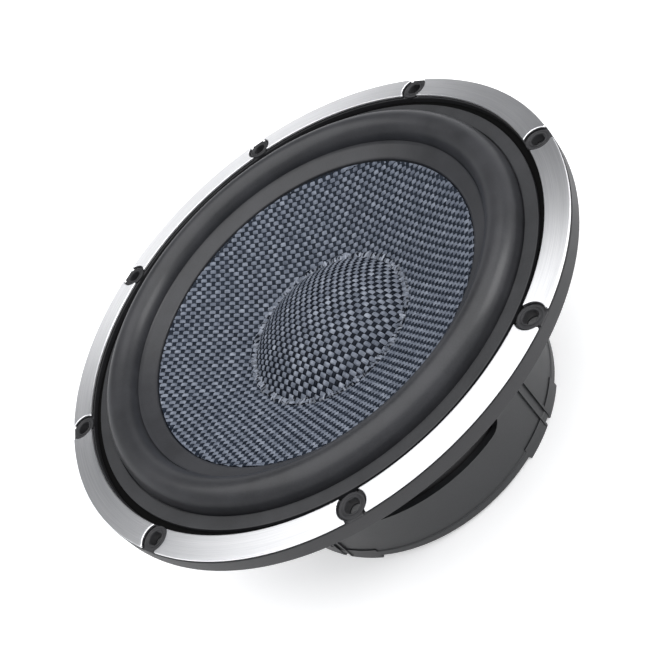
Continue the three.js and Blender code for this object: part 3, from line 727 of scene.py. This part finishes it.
def make_surround():
    """The half-roll, its clamped outer edge, and the lip that is glued on the cone."""
    steps = 28
    foot_r = ROLL["mid_r"] - ROLL["half_width"]
    inner_wide = ROLL["half_width"] - ROLL["thickness"]
    over = half_round(ROLL["half_width"], ROLL["height"], steps, 1)
    under = half_round(inner_wide, ROLL["height"] - ROLL["thickness"], steps, -1)
    land = LIP["gap"] + LIP["thickness"]
    lip = [(foot_r - back, cone_z(foot_r - back) + land + rise) for back, rise in LIP["fillet"]]
    lip += [(LIP["inner_r"] + out, cone_z(LIP["inner_r"] + out) + land - drop) for out, drop in LIP["edge"]]
    outline = [(GASKET["outer_r"], FLANGE["top_z"] + 0.1), (GASKET["outer_r"], GASKET["bottom_z"] - 0.1),
               (GASKET["inner_r"] - 0.3, GASKET["bottom_z"] - 0.1), *over, *lip,
               (LIP["inner_r"], cone_z(LIP["inner_r"]) + LIP["gap"]),
               (foot_r + 0.2, cone_z(foot_r + 0.2) + LIP["gap"]), *under,
               (ROLL["mid_r"] + inner_wide, FLANGE["top_z"] + 0.1)]
    piece = turned_sheet("surround_roll", outline, "rubber", 256)
    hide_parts("surround")
    bend_by_radius(piece, ROLL["mid_r"] + ROLL["half_width"], foot_r)


make_surround()


def make_spider():
    """The corrugated disc, with a short neck up the coil's tube and a flat flange on its seat."""
    steps = 16 * SPIDER["waves"]
    rise = SPIDER["wave_end_r"] - SPIDER["wave_start_r"]
    top = []
    for i in range(steps + 1):
        share = i / steps
        height = -SPIDER["amplitude"] * math.cos(share * SPIDER["waves"] * TAU)
        top.append((SPIDER["wave_start_r"] + rise * share, SPIDER["mid_z"] + height))
    inner_r, flange_r, mid_z = SPIDER["inner_r"], SPIDER["flange_r"], SPIDER["mid_z"]
    flange_under = mid_z - SPIDER["flange_thickness"]
    upper = [(inner_r, SPIDER["neck_top_z"]), (inner_r + 0.5, SPIDER["neck_top_z"]),
             (inner_r + 0.9, mid_z + 0.5), *top, (flange_r, mid_z), (SPIDER["outer_r"], mid_z)]
    lower = [(SPIDER["outer_r"], flange_under), (flange_r, flange_under)]
    lower += [(r, z - SPIDER["thickness"]) for r, z in reversed(top)]
    lower.append((inner_r, mid_z - SPIDER["thickness"]))
    piece = turned_sheet("spider_cloth", [*upper, *lower], "spider", 128)
    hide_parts("spider")
    bend_by_radius(piece, flange_r, SPIDER["wave_start_r"])


make_spider()


# -------- woven cone and dust cap
def cap_z(r):
    """Height of the dust cap's cloth at radius r: a dome, then a short rim that lies on the cone."""
    base, rise = CAP["dome_r"], CAP["height"]
    sphere_r = (base * base + rise * rise) / (2 * rise)
    foot = cone_z(base) + CAP["lift"] + CAP["thickness"]
    if r < base:
        return foot + math.sqrt(sphere_r * sphere_r - r * r) - (sphere_r - rise)
    return foot + (cone_z(r) - cone_z(base)) * 0.9 - 0.1 * (r - base)


def on_surface(height_at, x, y, lift):
    """The point that is lifted square off the turned surface above (x, y)."""
    r, step = math.hypot(x, y), 0.05
    low = max(r - step, 0.0)
    slope = (height_at(r + step) - height_at(low)) / (r + step - low)
    nx, ny = (-slope * x / r, -slope * y / r) if r > 1e-6 else (0.0, 0.0)
    size = math.sqrt(nx * nx + ny * ny + 1.0)
    return x + nx / size * lift, y + ny / size * lift, height_at(r) + lift / size


# Across a yarn: the place from -1 to 1, and how far the yarn's top is below its crown there.
LANES = ((-1.0, CLOTH["crown"]), (-0.62, 0.0), (0.62, 0.0), (1.0, CLOTH["crown"]))
BEATS = (0.14, 0.34, 0.66, 0.86)  # rows of points within one pitch along a yarn


def yarn_stops(low, high, side, count):
    """Places along a yarn from its one end to the other, closer together where it dives."""
    pitch = CLOTH["pitch"]
    inside = [(k + beat) * pitch for k in range(-count, count) for beat in BEATS]
    stops = [low, *(u for u in inside if low + 0.1 < u < high - 0.1), high]
    return [-u for u in reversed(stops)] if side < 0 else stops


def woven(name, height_at, inner_r, outer_r, heading, look, fray, seed):
    """Plain weave: two crossing sets of crowned yarns that go over and under each other on a curved surface.
    A yarn that meets the open middle is made as two, one on each side of it."""
    dice = random.Random(seed)
    pitch = CLOTH["pitch"]
    points, faces, notes, sides = [], [], [], []

    def add_row(u, v, half, end_r, rise, number, heading_x, heading_y):
        row = []
        for lane, drop in LANES:
            across = v + lane * half
            along = u if end_r is None else math.copysign(math.sqrt(max(0.0, end_r ** 2 - across ** 2)), u)
            x, y = along * heading_x - across * heading_y, along * heading_y + across * heading_x
            row.append(len(points))
            points.append(on_surface(height_at, x, y, CLOTH["base"] + rise - drop))
            notes.extend((along, lane, number))
            sides.extend((-heading_y, heading_x, 0.0))
        return row

    for family in (0, 1):
        angle = math.radians(heading + 90 * family)
        half = CLOTH["widths"][family] / 2
        count = int(outer_r / pitch) + 2
        for i in range(-count, count):
            v = (i + 0.5) * pitch
            number = dice.random() + family
            limit_r = outer_r + fray * (dice.random() - 0.7)
            reach, near_v = abs(v) + half, max(0.0, abs(v) - half)
            if reach >= limit_r - 0.3:
                continue
            far = math.sqrt(limit_r ** 2 - reach ** 2)
            near = math.sqrt(max(0.0, inner_r ** 2 - near_v ** 2))
            phase = CLOTH["wave"] * (1 if i % 2 == 0 else -1)
            for side in (-1, 1) if abs(v) - half < inner_r else (0,):
                stops = yarn_stops(near if side else -far, far, side, count)
                if len(stops) < 3:
                    continue
                rows = []
                for u in stops:
                    end_r = None
                    if u in (stops[0], stops[-1]):
                        end_r = limit_r if abs(u) >= far - 1e-6 else inner_r
                    rise = phase * math.tanh(2.2 * math.sin(math.pi * u / pitch))
                    rows.append(add_row(u, v, half, end_r, rise, number, math.cos(angle), math.sin(angle)))
                for a, b in zip(rows, rows[1:]):
                    faces.extend((a[k], b[k], b[k + 1], a[k + 1]) for k in range(len(LANES) - 1))
    piece = new_piece(name, points, faces, look)
    for label, values in (("yarn", notes), ("across_yarn", sides)):
        attribute = piece.data.attributes.new(label, "FLOAT_VECTOR", "POINT")
        attribute.data.foreach_set("vector", values)
    return piece


def make_cone():
    """The woven cone over a thin sheet of resin."""
    yarns = woven("cone_weave", cone_z, CONE_CLOTH["inner_r"], CONE_CLOTH["outer_r"], CONE_CLOTH["heading"],
                  "yarn", 0.0, 11)
    front = [(CONE["edge_r"], cone_z(CONE["edge_r"])), (CONE["cap_r"], CONE["cap_z"]),
             (CONE["throat_r"], CONE["throat_z"]), (CONE["neck_r"], CONE["neck_z"])]
    back = [(r, z - CONE["thickness"] * 1.1) for r, z in reversed(front)]
    points, faces = turned_mesh([*front, *back], 192)
    base = crisp(outward(new_piece("cone_resin", points, faces, "resin")))
    finish_piece(base, "diaphragm", "woven_glass", "cone")
    finish_piece(yarns, "diaphragm", "woven_glass")


make_cone()


def make_dust_cap():
    """The woven dome over a thin sheet of resin whose two faces close on the axis."""
    yarns = woven("cap_weave", cap_z, 0.0, CAP_CLOTH["outer_r"], CAP_CLOTH["heading"], "cap_yarn",
                  CAP_CLOTH["fray"], 5)
    steps, segments = 28, 96
    outer = [(CAP_SHEET_R * i / steps, cap_z(CAP_SHEET_R * i / steps)) for i in range(steps + 1)]
    inner = [(r, z - CAP["thickness"] * 0.6) for r, z in reversed(outer)]
    outline = [*outer, *inner][1:-1]
    points, faces = turned_mesh(outline, segments)
    top, bottom = len(points), len(points) + 1
    points += [(0.0, 0.0, outer[0][1]), (0.0, 0.0, inner[-1][1])]
    count = len(outline)
    faces = [f for f in faces if f[0] % count != count - 1]
    for i in range(segments):
        a, b = i * count, ((i + 1) % segments) * count
        faces.append((top, a, b))
        faces.append((bottom, b + count - 1, a + count - 1))
    base = crisp(outward(new_piece("cap_resin", points, faces, "resin")), 50, False)
    finish_piece(base, "diaphragm", "woven_glass", "dust_cap")
    finish_piece(yarns, "diaphragm", "woven_glass")


make_dust_cap()


def make_cap_rim():
    """The cap's cut edge: short glued yarn ends that droop onto the cone all round, each a little askew."""
    dice = random.Random(23)
    count, rows, lanes = 160, 6, 5
    points, faces, notes = [], [], []
    for i in range(count):
        azimuth = TAU * (i + dice.uniform(-0.25, 0.25)) / count
        lean = math.radians(dice.uniform(-22, 22))
        inner, outer = CAP["dome_r"] + dice.uniform(-0.5, 0.3), CAP["rim_r"] + dice.uniform(-0.4, 0.5)
        half, number, height = dice.uniform(0.44, 0.58), dice.random(), dice.uniform(0.2, 0.4)
        start = len(points)
        for k in range(rows):
            share = k / (rows - 1)
            reach = (outer - inner) / math.cos(lean) * share
            width = half * (1.0 - 0.25 * share ** 4)
            for lane in range(lanes):
                side = -1 + 2 * lane / (lanes - 1)
                r = inner + reach * math.cos(lean) - side * width * math.sin(lean)
                angle = azimuth + (reach * math.sin(lean) + side * width * math.cos(lean)) / r
                high = cap_z(min(r, CAP["rim_r"])) + height
                droop = max(0.0, share - 0.55) / 0.45
                z = high + (cone_z(r) + 0.1 - high) * droop ** 2 * 0.8 + 0.30 * (1 - side * side)
                points.append((r * math.cos(angle), r * math.sin(angle), z))
                notes.extend((reach, side, number))
        for k in range(rows - 1):
            for lane in range(lanes - 1):
                a = start + k * lanes + lane
                faces.append((a, a + lanes, a + lanes + 1, a + 1))
    piece = new_piece("cap_rim_yarns", points, faces, "glued")
    piece.data.attributes.new("yarn", "FLOAT_VECTOR", "POINT").data.foreach_set("vector", notes)
    finish_piece(piece, "diaphragm", "woven_glass")


make_cap_rim()


# -------- voice coil and motor
def plain_ring(inner_r, outer_r, low, high, edge):
    """The corners of a ring with a square section."""
    return [(inner_r, low, edge), (outer_r, low, edge), (outer_r, high, edge), (inner_r, high, edge)]


finish_piece(turned_piece("coil_tube", plain_ring(
    COIL["former_inner_r"], COIL["former_outer_r"], COIL["former_bottom_z"], COIL["former_top_z"], 0.0),
    "film", 128), "diaphragm", "coil_film", "coil_former")


def make_winding():
    """Round wire, turn on turn."""
    turns = COIL["turns"]
    pitch = (COIL["wire_top_z"] - COIL["wire_bottom_z"]) / turns
    outline = [(COIL["wire_inner_r"], COIL["wire_top_z"]), (COIL["wire_inner_r"], COIL["wire_bottom_z"])]
    for i in range(turns):
        for share, depth in ((0.0, 0.16), (0.2, 0.04), (0.5, 0.0), (0.8, 0.04)):
            outline.append((COIL["wire_outer_r"] - depth, COIL["wire_bottom_z"] + (i + share) * pitch))
    finish_piece(turned_sheet("coil_wire", outline, "copper", 72), "diaphragm", "copper", "coil_winding")


make_winding()

for name, ring, look, slot_name, node, edge in (
        ("motor_top_plate", TOP_PLATE, "steel", "black_steel", "top_plate", 0.6),
        ("motor_magnet", MAGNET, "ferrite", "ferrite", "magnet", 0.9)):
    section = plain_ring(ring["inner_r"], ring["outer_r"], ring["bottom_z"], ring["top_z"], edge)
    finish_piece(turned_piece(name, section, look, 160), "frame", slot_name, node)

finish_piece(turned_piece("motor_yoke", [
    (YOKE["vent_rear_r"], YOKE["rear_z"], 0.5), (YOKE["plate_r"] - YOKE["chamfer"], YOKE["rear_z"], 0.8),
    (YOKE["plate_r"], YOKE["rear_z"] + YOKE["chamfer"], 0.8), (YOKE["plate_r"], YOKE["plate_top_z"], 0.5),
    (YOKE["pole_r"], YOKE["plate_top_z"], 0.0), (YOKE["pole_r"], YOKE["pole_top_z"], 0.6),
    (YOKE["vent_r"], YOKE["pole_top_z"], 0.8), (YOKE["vent_r"], YOKE["rear_z"] + 6.0, 1.5)], "steel", 160),
    "frame", "black_steel", "yoke")


# -------- flexible leads
def smooth_path(knots, steps):
    """Points of the smooth curve through the knots."""
    path = []
    ends = [knots[0] * 2 - knots[1], *knots, knots[-1] * 2 - knots[-2]]
    for a, b, c, d in zip(ends, ends[1:], ends[2:], ends[3:]):
        for k in range(steps):
            t = k / steps
            path.append(0.5 * ((2 * b) + (c - a) * t + (2 * a - 5 * b + 4 * c - d) * t ** 2
                               + (3 * b - a - 3 * c + d) * t ** 3))
    return [*path, knots[-1]]


def make_lead(name, side, node):
    """A three-strand tinsel lead from its terminal tab to the cone."""
    x = side * LEAD["x"]
    path = smooth_path([Vector(p) for p in ((x, 58.8, 48.5), (x * 1.02, 57.4, 52.5), (x * 1.06, 51.0, 56.4),
                                            (x * 1.1, 43.5, 56.6), (x * 1.12, 37.5, 57.6))], 12)
    sides, points, faces = 18, [], []
    for n, place in enumerate(path):
        ahead = (path[min(n + 1, len(path) - 1)] - path[max(n - 1, 0)]).normalized()
        right = Vector((1, 0, 0))
        up = ahead.cross(right).normalized()
        for k in range(sides):
            a = TAU * k / sides
            strands = abs(math.cos(1.5 * (a - n * LEAD["twist"])))
            r = LEAD["radius"] * (1 - LEAD["strand_share"] + LEAD["strand_share"] * strands)
            points.append(tuple(place + right * r * math.cos(a) + up * r * math.sin(a)))
    for n in range(len(path) - 1):
        for k in range(sides):
            m = (k + 1) % sides
            faces.append((n * sides + k, n * sides + m, (n + 1) * sides + m, (n + 1) * sides + k))
    faces.append(tuple(range(sides)))
    faces.append(tuple(range(len(points) - 1, len(points) - sides - 1, -1)))
    piece = outward(new_piece(name, points, faces, "braid"))
    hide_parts(node)
    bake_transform(piece)


make_lead("tinsel_positive", 1, "lead_positive")
make_lead("tinsel_negative", -1, "lead_negative")


# -------- small CAD parts with better edges
def dress(node, look, edge_mm):
    """The CAD node stays, with its edges eased and its own finish."""
    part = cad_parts[node]
    part.data.materials.clear()
    part.data.materials.append(looks[look])
    weld = part.modifiers.new("weld", "WELD")
    weld.merge_threshold = 0.01 * MM
    bevelled(part, edge_mm, 2, 40)


for screw_number in range(1, 5):
    dress(f"basket_screw_{screw_number}", "zinc", 0.25)
dress("terminal_block", "plastic", 0.4)
dress("terminal_positive", "brass", 0.12)
dress("terminal_negative", "brass", 0.12)
dress("terminal_rivet", "zinc", 0.2)
dress("vent_screen", "zinc", 0.1)
dress("shorting_sleeve", "copper", 0.1)


# -------- floor and light
def make_floor():
    size = 6.0
    corners = [(-size, -size, 0), (size, -size, 0), (size, size, 0), (-size, size, 0)]
    mesh = bpy.data.meshes.new("floor")
    mesh.from_pydata(corners, [], [(0, 1, 2, 3)])
    mesh.materials.append(make_floor_paint())
    new_object("studio_floor", mesh)


make_floor()


def softbox(name, place, target, size, power):
    """An area light at that place, in metres, that looks at the target."""
    data = bpy.data.lights.new(name, "AREA")
    data.shape, data.size, data.size_y = "RECTANGLE", size[0], size[1]
    data.energy = power
    light = new_object(name, data)
    light.location = place
    light.rotation_mode = "QUATERNION"
    light.rotation_quaternion = (Vector(target) - Vector(place)).to_track_quat("-Z", "Y")


softbox("overhead", place=(0.0, -0.25, 1.45), target=(0.0, -0.25, 0.08), size=(2.6, 2.5), power=42.0)
softbox("side_key", place=(1.6, -0.3, 0.9), target=(0.0, 0.0, 0.08), size=(0.9, 0.9), power=16.0)

# How bright the surroundings are at the horizon and above it, how much darker they are high up on the +Y
# side, and the shares of a direction's Z and Y over which each change happens.
SKY = {"horizon": 0.74, "above": 0.47, "shade": 0.35, "colour": (0.95, 0.965, 1.0, 1.0),
       "rise": (0.22, 0.42), "shade_rise": (0.28, 0.45), "shade_far": (0.35, 0.75)}


def make_world():
    """Pale surroundings that are darker high up on the far side, where a studio has no lamp."""
    world = bpy.data.worlds.new("studio")
    world.use_nodes = True
    sky = Nodes(world.node_tree)
    direction = sky.split(sky.node("ShaderNodeTexCoord").outputs["Generated"])
    far, high = direction["Y"], direction["Z"]
    shade = sky.math("MULTIPLY", sky.ranged(far, SKY["shade_far"], 0.0, SKY["shade"]),
                     sky.ranged(high, SKY["shade_rise"], 0.0, 1.0))
    strength = sky.math("SUBTRACT", sky.ranged(high, SKY["rise"], SKY["horizon"], SKY["above"]), shade)
    background = sky.tree.nodes["Background"]
    sky.tree.links.new(strength, background.inputs["Strength"])
    background.inputs["Color"].default_value = SKY["colour"]
    bpy.context.scene.world = world


make_world()
bpy.context.scene.view_settings.view_transform = "Standard"
